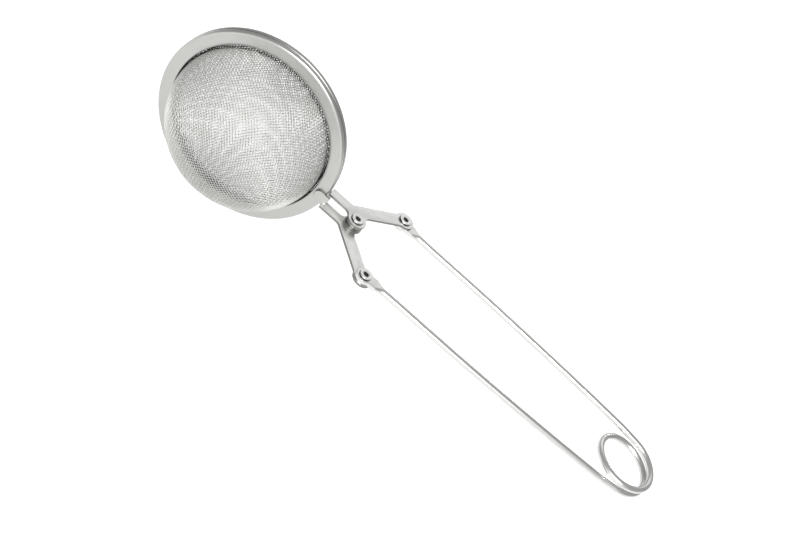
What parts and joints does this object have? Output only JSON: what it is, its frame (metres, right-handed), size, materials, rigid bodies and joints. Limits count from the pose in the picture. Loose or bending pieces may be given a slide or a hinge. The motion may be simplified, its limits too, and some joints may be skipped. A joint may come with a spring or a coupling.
{
  "type": "tea infuser",
  "caption": "Snap-ball tea infuser: two woven mesh half-balls in folded rims, opened by squeezing a sprung wire tong handle.",
  "frame": {"origin": "middle of the closed infuser's bounding box, at the height of the ball's centre", "axes": "+X from the ball to the handle's coil, +Z along the rivets, +Y across, from the left half to the right half"},
  "size_m": [0.1768, 0.0424, 0.055],
  "materials": {
    "rim_sheet": "satin stainless sheet",
    "woven_mesh": "bright woven stainless wire",
    "lever_strip": "satin stainless strip",
    "rivet": "polished stainless",
    "handle_wire": "drawn spring wire, polished"
  },
  "bodies": {
    "pivot": {"pivot_rivet": "rivet", "lower_washer": "rivet", "upper_washer": "rivet"},
    "left_jaw": {"left_rim": "rim_sheet", "left_mesh": "woven_mesh", "left_lever": "lever_strip", "left_leg_rivet": "rivet"},
    "right_jaw": {"right_rim": "rim_sheet", "right_mesh": "woven_mesh", "right_lever": "lever_strip", "right_leg_rivet": "rivet"},
    "left_leg": {"left_handle_leg": "handle_wire", "handle_coil": "handle_wire"},
    "right_leg": {"right_handle_leg": "handle_wire"}
  },
  "joints": [
    {"name": "left_jaw_open", "type": "hinge", "parent": "pivot", "child": "left_jaw", "pos_m": [-0.02295, 0, -0.0008], "axis": [0, 0, 1], "range_deg": [0, 30], "stiffness_Nm_per_rad": 0.09, "springref_deg": -20.05},
    {"name": "right_jaw_open", "type": "hinge", "parent": "pivot", "child": "right_jaw", "pos_m": [-0.02295, 0, -0.0008], "axis": [0, 0, 1], "range_deg": [-30.01, 0]},
    {"name": "left_leg_swing", "type": "hinge", "parent": "left_jaw", "child": "left_leg", "pos_m": [-0.01215, -0.0148, -0.0008], "axis": [0, 0, 1], "range_deg": [-34.48, 0]},
    {"name": "right_leg_flex", "type": "hinge", "parent": "left_leg", "child": "right_leg", "pos_m": [0.07875, 0, -0.0008], "axis": [0, 0, 1], "range_deg": [0, 8.95], "deforming": ["handle_coil"]}
  ],
  "couplings": [
    {"joint": "right_jaw_open", "follows": "left_jaw_open", "ratio": -1},
    {"joint": "left_leg_swing", "follows": "left_jaw_open", "ratio": -1.149},
    {"joint": "right_leg_flex", "follows": "left_jaw_open", "ratio": 0.298}
  ]
}
